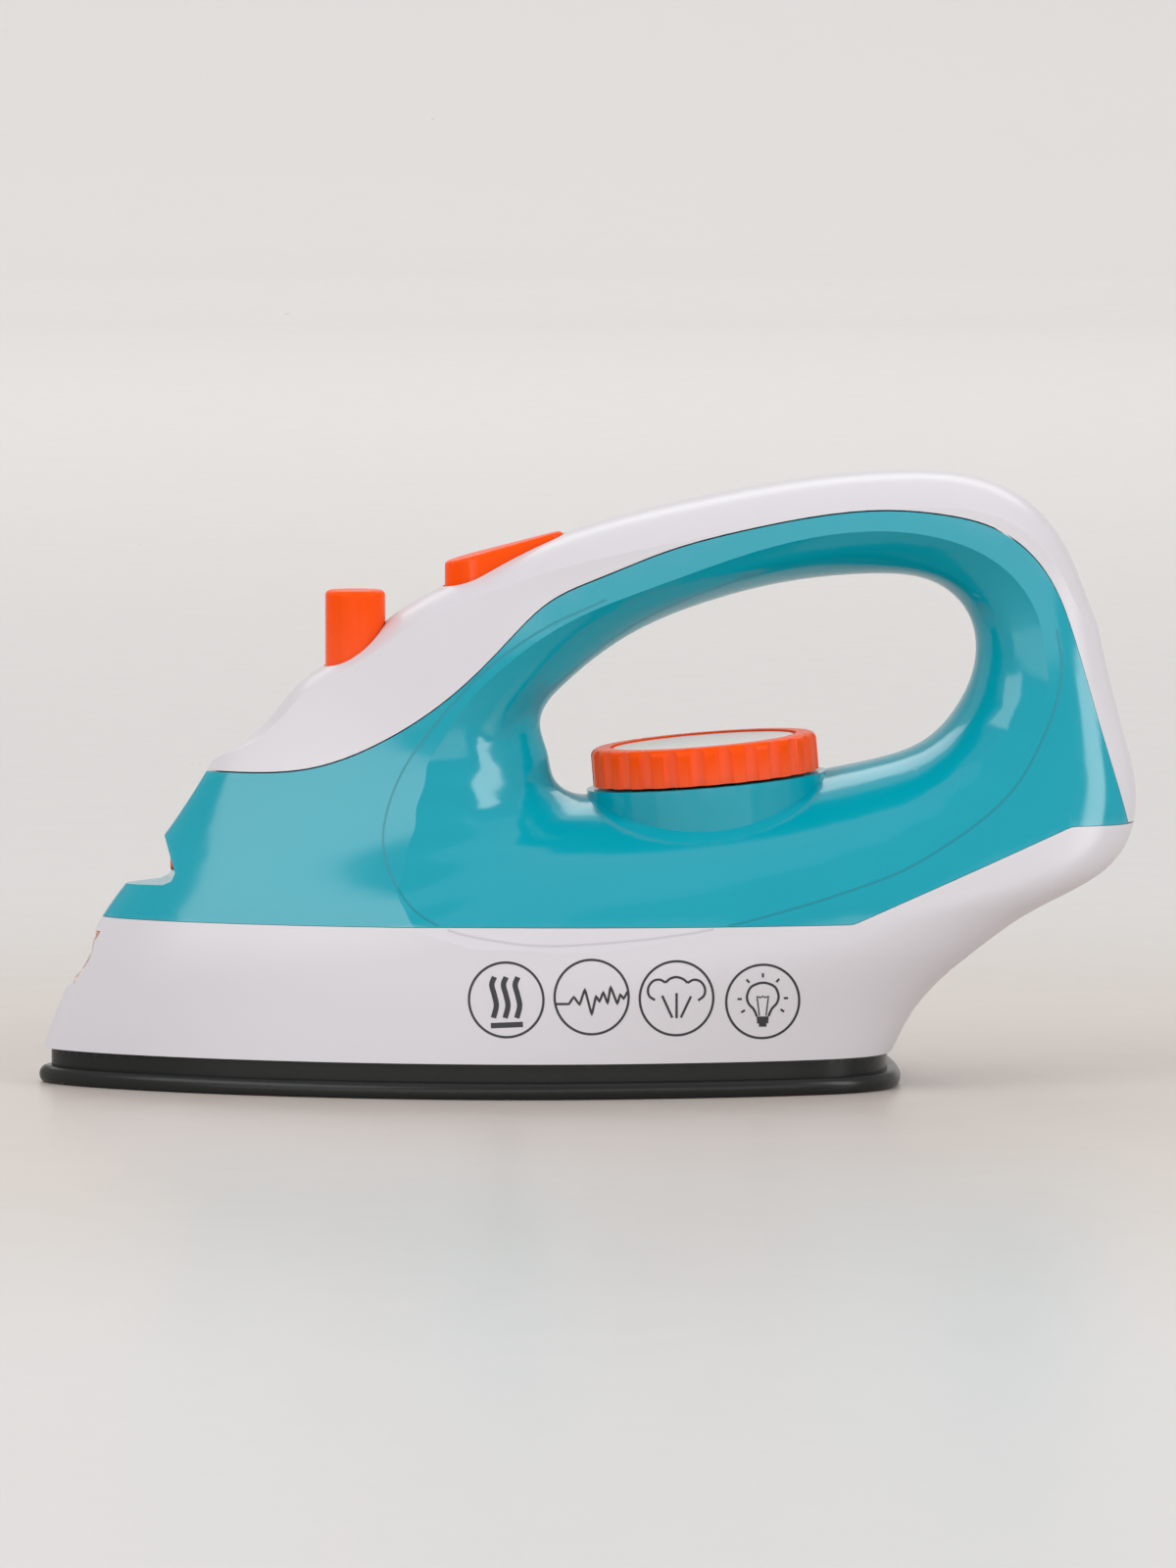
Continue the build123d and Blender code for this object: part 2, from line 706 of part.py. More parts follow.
# ---------------------------------------------------------------- dial
with BuildPart() as dial_knob:
    with BuildSketch(dial_plane):
        Circle(dial_radius)
    extrude(amount=dial_height)
    top = dial_knob.faces().sort_by(Axis(dial_plane.origin, dial_plane.z_dir))[-1]
    fillet(top.edges(), 1.6)
    with BuildSketch(dial_plane):
        with PolarLocations(dial_radius + 1.35, dial_flutes):
            Circle(2.1)
    extrude(amount=dial_height + 1, mode=Mode.SUBTRACT)
    with BuildSketch(dial_plane.offset(dial_height - 1.3)):
        Circle(19.6)
    extrude(amount=3, mode=Mode.SUBTRACT)
    with BuildSketch(dial_plane):
        Circle(21.0)
        Circle(6.0, mode=Mode.SUBTRACT)
    extrude(amount=5.0, mode=Mode.SUBTRACT)
    with BuildSketch(dial_plane.offset(0.5)):
        Circle(spindle_radius)
    extrude(amount=-9.3)
    with BuildSketch(dial_plane.offset(-8.0)):
        Circle(spindle_tip_radius)
    extrude(amount=-5.0)
keep(dial_knob, "dial_knob")

with BuildPart() as dial_insert:
    with BuildSketch(dial_plane.offset(dial_height - 1.25)):
        Circle(19.2)
    extrude(amount=0.9)
    rim_face = dial_insert.faces().sort_by(Axis(dial_plane.origin, dial_plane.z_dir))[-1]
    fillet(rim_face.edges(), 0.4)
keep(dial_insert, "dial_insert")

with BuildPart() as dial_switch:
    with BuildSketch(dial_plane.offset(-2.8)):
        RectangleRounded(19, 19, 2)
    extrude(amount=-6.5)
    with BuildSketch(dial_plane.offset(-9.0)):
        Circle(6.0)
    extrude(amount=-5.0)
    with BuildSketch(dial_plane.offset(-9.3)):
        with GridLocations(12, 0, 2, 1):
            Rectangle(2, 9)
    extrude(amount=-2.0)
    with BuildSketch(dial_plane.offset(0)):
        Circle(spindle_radius + 0.4)
    extrude(amount=-9.2, mode=Mode.SUBTRACT)
    with BuildSketch(dial_plane.offset(-8)):
        Circle(spindle_tip_radius + 0.05)
    extrude(amount=-5.4, mode=Mode.SUBTRACT)
keep(dial_switch, "dial_switch")

# ---------------------------------------------------------------- spray pump and its button
with BuildPart() as spray_button:
    with BuildSketch(Plane.XY.offset(80.0)):
        with Locations((pump_x, 0)):
            RectangleRounded(12.5, 12.5, 5.6)
    extrude(amount=22.9)
    fillet(spray_button.faces().sort_by(Axis.Z)[-1].edges(), 1.1)
    with BuildSketch(Plane.XY.offset(79.0)):
        with Locations((pump_x, 0)):
            RectangleRounded(9.3, 9.3, 4.0)
    extrude(amount=18.0, mode=Mode.SUBTRACT)
    with BuildSketch(Plane.XY.offset(80.0)):
        with Locations((pump_x + 5.6, 0)):
            Rectangle(4.2, 5)
    extrude(amount=2.0)
    with BuildSketch(Plane.XY.offset(60.0)):
        with Locations((pump_x, 0)):
            Circle(2.6)
    extrude(amount=38.0)
    with BuildSketch(Plane.XY.offset(56.0)):
        with Locations((pump_x, 0)):
            Circle(4.85)
    extrude(amount=4.0)
keep(spray_button, "spray_button")

with BuildPart() as pump_body:
    add(drill(pump_x, 0, 41.5, 66.0, 6.6))
    with BuildSketch(Plane.XY.offset(60.7)):
        with Locations((pump_x, 0)):
            Circle(9.0)
    extrude(amount=1.8)
    add(drill(pump_x, 0, 43.5, 64.2, 4.9), mode=Mode.SUBTRACT)
    add(drill(pump_x, 0, 60.0, 70.0, 3.0), mode=Mode.SUBTRACT)
    add(drill(pump_x, 0, 37.0, 42.0, 2.4))
    add(drill(pump_x, 0, 36.0, 44.0, 1.2), mode=Mode.SUBTRACT)
    with BuildSketch(Plane(origin=(pump_x - 5.5, 0, 46.4), x_dir=(0, 1, 0), z_dir=(-1, 0, 0))):
        Circle(2.2)
    extrude(amount=6.5)
    with BuildSketch(Plane(origin=(pump_x - 3.5, 0, 46.4), x_dir=(0, 1, 0), z_dir=(-1, 0, 0))):
        Circle(1.1)
    extrude(amount=10, mode=Mode.SUBTRACT)
keep(pump_body, "pump_body")

with BuildPart() as pump_spring:
    add(coil(pump_x, 0, 43.95, 11.9, 3.6, 6, 0.4))
keep(pump_spring, "pump_spring")

with BuildPart() as spray_nozzle:
    with BuildSketch(Plane(origin=(-87.5, 0, 46.4), x_dir=(0, 1, 0), z_dir=(1, 0, 0))):
        Circle(2.15)
    extrude(amount=6.0)
    with BuildSketch(Plane(origin=(-84.4, 0, 46.4), x_dir=(0, 1, 0), z_dir=(1, 0, 0))):
        Circle(3.4)
    extrude(amount=1.4)
    front = spray_nozzle.faces().sort_by(Axis.X)[0]
    fillet(front.edges(), 0.5)
    with BuildSketch(Plane(origin=(-89, 0, 46.4), x_dir=(0, 1, 0), z_dir=(1, 0, 0))):
        Circle(0.6)
    extrude(amount=4.0, mode=Mode.SUBTRACT)
    with BuildSketch(Plane(origin=(-85.2, 0, 46.4), x_dir=(0, 1, 0), z_dir=(1, 0, 0))):
        Circle(1.1)
    extrude(amount=8.0, mode=Mode.SUBTRACT)
keep(spray_nozzle, "spray_nozzle")

with BuildPart() as outlet_tube:
    add(
        tube_along(
            ((-81.2, 0, 46.4), (-75.0, 0, 45.8), (-67.0, 0, 45.8), (-61.0, 0, 46.4)), 2.0, bore=1.1
        )
    )
keep(outlet_tube, "outlet_tube")

with BuildPart() as suction_tube:
    add(
        tube_along(
            ((pump_x, 0, 36.3), (-50.5, 0, 33.0), (-60.0, 0, 31.0), (-72.0, 0, 30.0),
             (-76.0, 0, 26.8), (-76.5, 0, 23.5)), 1.6, bore=0.9
        )
    )
keep(suction_tube, "suction_tube")

with BuildPart() as water_tank:
    add(plan_outline(5.0, -107.0, 56.0, 37.5))
    extrude(amount=15.5)
    add(block(-97, -68, -40, 40, 4, 21), mode=Mode.INTERSECT)
    add(drill(plug_x, 0, 2.6, 5.5, 7.5))
    with BuildPart(mode=Mode.PRIVATE) as room:
        add(plan_outline(6.5, -105.5, 54.5, 36.0))
        extrude(amount=12.5)
        add(block(-95.5, -69.5, -40, 40, 4, 21), mode=Mode.INTERSECT)
    add(room.part, mode=Mode.SUBTRACT)
    add(drill(plug_x, 0, 2.0, 8.0, 4.0), mode=Mode.SUBTRACT)
    add(drill(-76.5, 0, 19.5, 23.0, 2.4))
    add(drill(-76.5, 0, 17.0, 24.0, 0.9), mode=Mode.SUBTRACT)
keep(water_tank, "water_tank")

with BuildPart() as tank_plug:
    add(drill(plug_x, 0, 0.4, 2.3, 5.7))
    add(drill(plug_x, 0, 2.2, 7.5, 3.95))
    add(drill(plug_x, 0, 4.0, 8.5, 2.6), mode=Mode.SUBTRACT)
    add(block(plug_x - 4.2, plug_x - 2.6, -2.5, 2.5, 0.0, 1.1), mode=Mode.SUBTRACT)
    add(block(plug_x + 2.6, plug_x + 4.2, -2.5, 2.5, 0.0, 1.1), mode=Mode.SUBTRACT)
keep(tank_plug, "tank_plug")

# ---------------------------------------------------------------- light and sound trigger
with BuildPart() as trigger_bracket:
    add(plan_outline(58.2, -79.6, 111.0, 25.6))
    extrude(amount=2.4)
    add(block(-76, -31, -20.5, 20.5, 50, 70), mode=Mode.INTERSECT)
    add(block(-40, -30, 12, 22, 50, 70), mode=Mode.SUBTRACT)
    add(block(-40, -30, -22, -12, 50, 70), mode=Mode.SUBTRACT)
    add(block(-32, -19, -6.5, 6.5, 58.2, 60.6))
    add(block(-30, -19, -6.5, 6.5, 59, 88.5))
    add(block(-28.4, -20.6, -4.9, 4.9, 50, 87.0), mode=Mode.SUBTRACT)
    add(drill(pump_x, 0, 50, 70, 6.7), mode=Mode.SUBTRACT)
    add(drill(-36.0, 9.0, 50, 70, 2.5), mode=Mode.SUBTRACT)
keep(trigger_bracket, "trigger_bracket")

with BuildPart() as trigger_switch:
    add(block(-28.4, -19.8, -4.6, 4.6, 88.6, 90.2))
    add(block(-27.1, -21.1, -3.0, 3.0, 90.0, 93.4))
    add(drill(-24.1, 0, 93.0, 94.4, 1.6))
keep(trigger_switch, "trigger_switch")

with BuildPart() as trigger:
    with BuildSketch(Plane.XY.offset(98.0)):
        add(button_outline(0.0))
    extrude(amount=22)
    # slanted top, then a slanted base that follows the cover from inside
    add(
        side_prism(((-40, 106.0), (-29.3, 108.9), (-5.0, 115.4), (5, 118.1), (5, 130), (-40, 130))),
        mode=Mode.SUBTRACT,
    )
    add(
        side_prism(((-40, 90), (-40, 99.5), (-30, 99.5), (-12, 105.2), (5, 105.2), (5, 90))),
        mode=Mode.SUBTRACT,
    )
    top = trigger.faces().filter_by(GeomType.PLANE).sort_by(Axis.Z)[-1]
    fillet(top.edges(), 0.9)
    add(cross_rod(trigger_pivot[0], trigger_pivot[1], -5.3, 5.3, 1.0))
    add(drill(-24.1, 0, 97.0, 101.5, 1.6))
keep(trigger, "trigger")

with BuildPart() as trigger_spring:
    add(coil(-24.1, 0, 90.6, 8.4, 4.6, 4, 0.35))
keep(trigger_spring, "trigger_spring")

# ---------------------------------------------------------------- sound board, speaker, lamp
with BuildPart() as main_board:
    with BuildSketch(Plane.XY.offset(26.0)):
        with Locations((-46.0, 0)):
            RectangleRounded(38, 50, 2)
        with Locations([(x, y) for x, y in board_post_spots]):
            Circle(1.3, mode=Mode.SUBTRACT)
    extrude(amount=1.6)
keep(main_board, "main_board")

with BuildPart() as board_parts:
    add(block(-52, -44, -4, 4, 27.65, 29.4))
    add(block(-36, -31, -8, -2, 27.65, 33.0))
    add(block(-36, -31, 6, 14, 27.65, 33.0))
    add(block(-61, -56, -6, 6, 27.65, 29.0))
    for x, y in ((-53.0, 12.0), (-45.0, 14.0)):
        add(drill(x, y, 27.65, 36.0, 2.5))
    for x, y in ((-56.0, -12.0), (-52.0, -12.0), (-48.0, -12.0), (-44.0, -12.0), (-40.0, -12.0)):
        add(block(x - 0.8, x + 0.8, y - 1.6, y + 1.6, 27.65, 28.6))
keep(board_parts, "board_parts")

with BuildPart() as board_screws:
    for x, y in board_post_spots:
        add(small_screw(Plane(origin=(x, y, 27.65)), 2.3, 1.5, 1.0, 9.0))
keep(board_screws, "board_screws")

with BuildPart() as speaker:
    add(drill(speaker_x, 0, 2.5, 4.0, speaker_radius))
    with BuildSketch(Plane.XY.offset(4.0)):
        with Locations((speaker_x, 0)):
            Circle(13.5)
    with BuildSketch(Plane.XY.offset(9.0)):
        with Locations((speaker_x, 0)):
            Circle(9.5)
    loft()
    add(drill(speaker_x, 0, 9.0, 13.5, 9.5))
    with BuildSketch(Plane.XY.offset(2.4)):
        with Locations((speaker_x, 0)):
            Circle(15.0)
    extrude(amount=0.9, mode=Mode.SUBTRACT)
keep(speaker, "speaker")

with BuildPart() as speaker_clamp:
    with BuildSketch(Plane.XY.offset(4.05)):
        with Locations((speaker_x, 0)):
            Circle(speaker_radius + 0.2)
            for angle in speaker_clamp_angles:
                with Locations(Rotation(0, 0, angle) * Pos(19.6, 0, 0)):
                    SlotOverall(9.4, 5.2)
            Circle(14.6, mode=Mode.SUBTRACT)
    extrude(amount=1.2)
    for angle in speaker_clamp_angles:
        spot = Rotation(0, 0, angle) * Pos(21.3, 0, 0)
        add(
            drill(speaker_x + spot.position.X, spot.position.Y, 3.0, 7.0, 1.2),
            mode=Mode.SUBTRACT,
        )
keep(speaker_clamp, "speaker_clamp")

with BuildPart() as speaker_screws:
    for angle in speaker_clamp_angles:
        spot = Rotation(0, 0, angle) * Pos(21.3, 0, 0)
        plane = Plane(origin=(speaker_x + spot.position.X, spot.position.Y, 5.3))
        add(small_screw(plane, 2.0, 1.3, 0.9, 2.6))
keep(speaker_screws, "speaker_screws")

with BuildPart() as nose_lamp:
    with BuildSketch(Plane(origin=(-100.4, 0, 27.0), x_dir=(0, 1, 0), z_dir=(1, 0, 0))):
        Circle(2.5)
    extrude(amount=6.0)
    front = nose_lamp.faces().sort_by(Axis.X)[0]
    fillet(front.edges(), 1.6)
    with BuildSketch(Plane(origin=(-95.1, 0, 27.0), x_dir=(0, 1, 0), z_dir=(1, 0, 0))):
        Circle(3.0)
    extrude(amount=1.0)
    with BuildSketch(Plane(origin=(-94.5, 0, 27.0), x_dir=(0, 1, 0), z_dir=(1, 0, 0))):
        with GridLocations(2.54, 0, 2, 1):
            Rectangle(0.5, 0.5)
    extrude(amount=7.0)
keep(nose_lamp, "nose_lamp")

with BuildPart() as lamp_wires:
    for y in (-1.27, 1.27):
        add(
            tube_along(
                ((-87.2, y, 27.0), (-80.0, y * 2, 25.4), (-72.0, y * 3, 26.0), (-67.0, y * 3, 28.4),
                 (-61.3, y * 3, 28.4)), 0.5
            )
        )
keep(lamp_wires, "lamp_wires")

with BuildPart() as battery_wires:
    for y in (7.5, 12.5):
        add(
            tube_along(
                ((-21.2, y + 6, 12.0), (-23.8, y + 5, 18.0), (-25.2, y + 2, 27.0),
                 (-27.5, y, 30.5), (-30.8, y, 30.5)), 0.6
            )
        )
keep(battery_wires, "battery_wires")

with BuildPart() as speaker_wires:
    for y in (-3.0, 3.0):
        add(
            tube_along(
                ((-36.2, y, 11.5), (-33.0, y * 1.2, 14.0), (-33.5, y, 20.0), (-40.0, y, 25.3)), 0.5
            )
        )
keep(speaker_wires, "speaker_wires")

with BuildPart() as trigger_wires:
    for y in (0.0, 2.0):
        add(
            tube_along(
                ((-27.6, 7.5 + y, 89.0), (-33.0, 8.0 + y, 78.0), (-36.0, 8.0 + y, 62.0),
                 (-36.0, 8.0 + y, 55.0), (-33.8, -6.0 + y, 40.0), (-33.5, -6.0 + y, 33.3)), 0.5
            )
        )
keep(trigger_wires, "trigger_wires")

with BuildPart() as dial_wires:
    for y in (0.0, 2.0):
        add(
            tube_along(
                ((17.5, y, 49.4), (10.0, y, 42.0), (-12.0, y + 3, 34.0), (-26.0, y + 7, 32.0),
                 (-30.8, y + 9, 32.0)), 0.5
            )
        )
keep(dial_wires, "dial_wires")

with BuildPart() as shell_screws:
    for x, z, seat in shell_screw_spots:
        plane = Plane(origin=(x, seat + 0.05, z), x_dir=(1, 0, 0), z_dir=(0, 1, 0))
        add(small_screw(plane, 2.6, 1.6, 1.4, seat + 8.0))
keep(shell_screws, "shell_screws")
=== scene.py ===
import math

import bmesh
import bpy
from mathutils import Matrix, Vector
from mathutils.bvhtree import BVHTree


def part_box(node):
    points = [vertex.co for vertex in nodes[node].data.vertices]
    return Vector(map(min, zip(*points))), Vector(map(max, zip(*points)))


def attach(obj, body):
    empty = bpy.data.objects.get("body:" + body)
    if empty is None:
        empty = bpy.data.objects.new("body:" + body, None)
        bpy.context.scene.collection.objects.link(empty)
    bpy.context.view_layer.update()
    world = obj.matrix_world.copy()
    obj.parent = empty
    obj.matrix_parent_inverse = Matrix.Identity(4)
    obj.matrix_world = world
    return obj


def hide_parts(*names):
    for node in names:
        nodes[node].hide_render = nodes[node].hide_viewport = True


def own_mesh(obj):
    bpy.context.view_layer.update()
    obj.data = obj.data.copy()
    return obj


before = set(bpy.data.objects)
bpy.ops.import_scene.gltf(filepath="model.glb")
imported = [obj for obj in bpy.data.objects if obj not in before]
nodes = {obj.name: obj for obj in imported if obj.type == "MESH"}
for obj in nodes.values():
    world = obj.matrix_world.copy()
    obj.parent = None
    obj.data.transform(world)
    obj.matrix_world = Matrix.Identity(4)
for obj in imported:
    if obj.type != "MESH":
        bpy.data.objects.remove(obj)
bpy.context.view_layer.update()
MM = 0.001

# ---------------------------------------------------------------- camera
VIEW_AZIMUTH = math.radians(-3.0)
VIEW_ELEVATION = math.radians(4.2)
VIEW_DISTANCE = 2.8
VIEW_TARGET = Vector((0.0, 0.0, 0.062))
SENSOR_HEIGHT = 36.0
LENS = 306.8
VIEW_REACH = 20.0

# ---------------------------------------------------------------- colours, linear
WHITE = (0.64, 0.615, 0.65)
TEAL = (0.0, 0.325, 0.415)
ORANGE = (1.0, 0.08, 0.0)
DARK = (0.013, 0.0145, 0.0135)
INK = (0.012, 0.011, 0.013)
FLOOR = (0.635, 0.618, 0.604)
TEAL_SHADE = (0.0, 0.235, 0.3)
WHITE_SHADE = (0.53, 0.51, 0.54)

# ---------------------------------------------------------------- surface detail
CLOUD_SCALE = 28.0
SMEAR_SCALE = 60.0
GLOSS_SPREAD = 0.15
WORN_FROM, WORN_TO = 0.55, 0.75
WORN_STRENGTH = 0.35


def make_camera():
    """Long lens a little above the sole, almost square to the near flank."""
    camera = bpy.data.cameras.new("camera")
    camera.sensor_fit = "VERTICAL"
    camera.sensor_height = SENSOR_HEIGHT
    camera.lens = LENS
    camera.clip_end = VIEW_REACH
    holder = bpy.data.objects.new("camera", camera)
    bpy.context.scene.collection.objects.link(holder)
    flat = math.cos(VIEW_ELEVATION) * VIEW_DISTANCE
    offset = Vector(
        (
            math.sin(VIEW_AZIMUTH) * flat,
            -math.cos(VIEW_AZIMUTH) * flat,
            math.sin(VIEW_ELEVATION) * VIEW_DISTANCE,
        )
    )
    holder.location = VIEW_TARGET + offset
    holder.rotation_euler = (-offset).to_track_quat("-Z", "Y").to_euler()
    bpy.context.scene.camera = holder


def area_light(name, place, aim, size, power):
    """Rectangular softbox pointed at a place."""
    lamp = bpy.data.lights.new(name, "AREA")
    lamp.shape = "RECTANGLE"
    lamp.size, lamp.size_y = size
    lamp.energy = power
    holder = bpy.data.objects.new(name, lamp)
    bpy.context.scene.collection.objects.link(holder)
    holder.location = place
    holder.rotation_euler = (Vector(aim) - Vector(place)).to_track_quat("-Z", "Y").to_euler()
    return holder


def add_node(tree, kind, **settings):
    """New shader node with its input values or attributes set."""
    node = tree.nodes.new(kind)
    for key, value in settings.items():
        name = key.replace("_", " ")
        if name in node.inputs:
            node.inputs[name].default_value = value
        else:
            setattr(node, key, value)
    return node


def plastic(name, colour, roughness, tint_shift=0.04, grain_mm=0.35, grain_depth=0.004, **sockets):
    """Moulded plastic: cloudy tint, pale worn edges, uneven gloss and a fine moulded texture."""
    material = bpy.data.materials.new(name)
    material.use_nodes = True
    tree = material.node_tree
    shader = tree.nodes["Principled BSDF"]
    place = tree.nodes.new("ShaderNodeTexCoord")

    cloud = add_node(tree, "ShaderNodeTexNoise", Scale=CLOUD_SCALE, Detail=3.0)
    tree.links.new(place.outputs["Object"], cloud.inputs["Vector"])
    tint = add_node(tree, "ShaderNodeMix", data_type="RGBA")
    tint.inputs["A"].default_value = (*[c * (1.0 - tint_shift) for c in colour], 1.0)
    tint.inputs["B"].default_value = (*[min(c * (1.0 + tint_shift), 1.0) for c in colour], 1.0)
    tree.links.new(cloud.outputs["Fac"], tint.inputs["Factor"])

    # convex edges wear slightly paler
    shape = tree.nodes.new("ShaderNodeNewGeometry")
    edge = add_node(
        tree, "ShaderNodeMapRange", From_Min=WORN_FROM, From_Max=WORN_TO, To_Min=0.0,
        To_Max=WORN_STRENGTH,
    )
    tree.links.new(shape.outputs["Pointiness"], edge.inputs["Value"])
    worn = add_node(tree, "ShaderNodeMix", data_type="RGBA")
    worn.inputs["B"].default_value = (*[c + (1.0 - c) * WORN_STRENGTH for c in colour], 1.0)
    tree.links.new(edge.outputs["Result"], worn.inputs["Factor"])
    tree.links.new(tint.outputs["Result"], worn.inputs["A"])
    tree.links.new(worn.outputs["Result"], shader.inputs["Base Color"])

    smear = add_node(tree, "ShaderNodeTexNoise", Scale=SMEAR_SCALE, Detail=4.0)
    tree.links.new(place.outputs["Object"], smear.inputs["Vector"])
    gloss = add_node(
        tree, "ShaderNodeMapRange", To_Min=roughness * (1.0 - GLOSS_SPREAD),
        To_Max=min(roughness * (1.0 + GLOSS_SPREAD), 1.0),
    )
    tree.links.new(smear.outputs["Fac"], gloss.inputs["Value"])
    tree.links.new(gloss.outputs["Result"], shader.inputs["Roughness"])

    grain = add_node(tree, "ShaderNodeTexNoise", Scale=1.0 / (grain_mm * MM), Detail=2.0)
    tree.links.new(place.outputs["Object"], grain.inputs["Vector"])
    bump = add_node(tree, "ShaderNodeBump", Strength=0.35, Distance=grain_depth * MM)
    tree.links.new(grain.outputs["Fac"], bump.inputs["Height"])
    tree.links.new(bump.outputs["Normal"], shader.inputs["Normal"])

    for socket, value in sockets.items():
        shader.inputs[socket.replace("_", " ")].default_value = value
    return material


def brushed(name, colour, roughness):
    """Plated metal with fine drawn scratches."""
    material = plastic(name, colour, roughness, tint_shift=0.06, grain_mm=0.2, Metallic=1.0)
    tree = material.node_tree
    place = tree.nodes.new("ShaderNodeTexCoord")
    stretch = add_node(tree, "ShaderNodeMapping", Scale=(60.0, 2200.0, 2200.0))
    tree.links.new(place.outputs["Object"], stretch.inputs["Vector"])
    scratches = add_node(tree, "ShaderNodeTexNoise", Scale=1.0, Detail=2.0)
    tree.links.new(stretch.outputs["Vector"], scratches.inputs["Vector"])
    bump = add_node(tree, "ShaderNodeBump", Strength=0.2, Distance=0.00001)
    tree.links.new(scratches.outputs["Fac"], bump.inputs["Height"])
    tree.links.new(bump.outputs["Normal"], tree.nodes["Principled BSDF"].inputs["Normal"])
    return material


def paint(material, *names):
    """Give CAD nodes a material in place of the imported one."""
    for name in names:
        mesh = nodes[name].data
        mesh.materials.clear()
        mesh.materials.append(material)


def new_piece(name, mesh, material, body):
    """Finished Blender piece that rides on a CAD body."""
    piece = bpy.data.objects.new(name, mesh)
    bpy.context.scene.collection.objects.link(piece)
    mesh.materials.append(material)
    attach(piece, body)
    return piece


make_camera()

white = plastic("white_moulding", WHITE, 0.3, tint_shift=0.012, Specular_IOR_Level=0.4)
teal = plastic("teal_moulding", TEAL, 0.12, tint_shift=0.025, Specular_IOR_Level=0.42)
orange = plastic("orange_moulding", ORANGE, 0.27, tint_shift=0.05, Specular_IOR_Level=0.09)
dark = plastic("dark_moulding", DARK, 0.25, Specular_IOR_Level=0.22)
natural = plastic("natural_moulding", (0.5, 0.5, 0.48), 0.5)
dial_face = plastic("dial_face", (0.74, 0.68, 0.65), 0.3)
lens = plastic(
    "lens", (0.92, 0.5, 0.4), 0.12, Transmission_Weight=0.45, Subsurface_Weight=0.3,
    Subsurface_Scale=0.003,
)
lamp_cap = plastic("lamp_cap", (0.95, 0.93, 0.85), 0.1, Transmission_Weight=0.6)
rubber = plastic("rubber", (0.08, 0.08, 0.08), 0.7, grain_mm=0.15, grain_depth=0.02)
tube = plastic("tube", (0.75, 0.78, 0.8), 0.2, Transmission_Weight=0.7)
steel = brushed("steel", (0.55, 0.55, 0.56), 0.3)
board = plastic("board", (0.01, 0.12, 0.04), 0.4, tint_shift=0.25, grain_mm=0.6)
black = plastic("black_moulding", (0.02, 0.02, 0.02), 0.5)
cell = plastic("cell_jacket", (0.03, 0.035, 0.05), 0.3)
wire = plastic("wire", (0.4, 0.02, 0.02), 0.5)
ink = plastic("ink", INK, 0.45, grain_mm=0.1)
shade_teal = plastic("teal_in_shade", TEAL_SHADE, 0.3, grain_mm=0.1)
shade_white = plastic("white_in_shade", WHITE_SHADE, 0.4, grain_mm=0.1)

paint(white, "lower_housing", "top_cover")
paint(teal, "side_shell_left", "side_shell_right")
paint(orange, "spray_button", "trigger", "dial_knob", "spray_nozzle")
paint(dark, "soleplate", "battery_door")
paint(dial_face, "dial_insert")
paint(lens, "nose_light_lens")
paint(lamp_cap, "nose_lamp")
paint(rubber, "tank_plug")
paint(tube, "outlet_tube", "suction_tube")
paint(natural, "water_tank", "pump_body", "trigger_bracket", "battery_box", "speaker_clamp")
paint(
    steel, "pump_spring", "trigger_spring", "battery_contacts", "battery_door_screw",
    "shell_screws", "sole_screws", "board_screws", "speaker_screws",
)
paint(board, "main_board")
paint(black, "board_parts", "speaker", "dial_switch", "trigger_switch")
paint(cell, "battery_cells")
paint(wire, "lamp_wires", "battery_wires", "speaker_wires", "trigger_wires", "dial_wires")


# ---------------------------------------------------------------- printed pictures and the painted shade line round the ring
# line widths and sizes in mm
BOLD_LINE = 1.1
FINE_LINE = 0.5
THREAD_LINE = 0.28
CAP_LINE = 0.75
RAY_LINE = 0.45
RING_WIDTH = 0.4
PICTURE_RADIUS = 7.65
INK_LIFT = 0.04
RAY_START = 120.0


def smooth_path(points, steps=8):
    """Catmull-Rom line through 2-D points."""
    points = [Vector(p) for p in points]
    closed = (points[0] - points[-1]).length < 1e-6
    if closed:
        points = [points[-2]] + points + [points[1]]
    else:
        points = [2 * points[0] - points[1]] + points + [2 * points[-1] - points[-2]]
    line = []
    for a, b, c, d in zip(points, points[1:], points[2:], points[3:]):
        for i in range(steps):
            t = i / steps
            line.append(
                0.5 * (
                    2 * b + (c - a) * t + (2 * a - 5 * b + 4 * c - d) * t**2
                    + (3 * b - a - 3 * c + d) * t**3
                )
            )
    line.append(points[-2])
    return line


def straight_path(points, step=0.6):
    """Line of short runs along straight segments."""
    line = []
    for a, b in zip(points, points[1:]):
        a, b = Vector(a), Vector(b)
        count = max(1, math.ceil((b - a).length / step))
        line += [a.lerp(b, i / count) for i in range(count)]
    return line + [Vector(points[-1])]


def circle_path(radius, steps=64):
    """Closed circle of 2-D points."""
    angles = [math.radians(360.0 * i / steps) for i in range(steps + 1)]
    return [Vector((radius * math.cos(a), radius * math.sin(a))) for a in angles]


def ray_of_light(angle):
    """Short stroke that points away from the bulb."""
    turn = math.radians(angle)
    return straight_path([(r * math.cos(turn), 0.6 + r * math.sin(turn)) for r in (4.4, 5.3)])


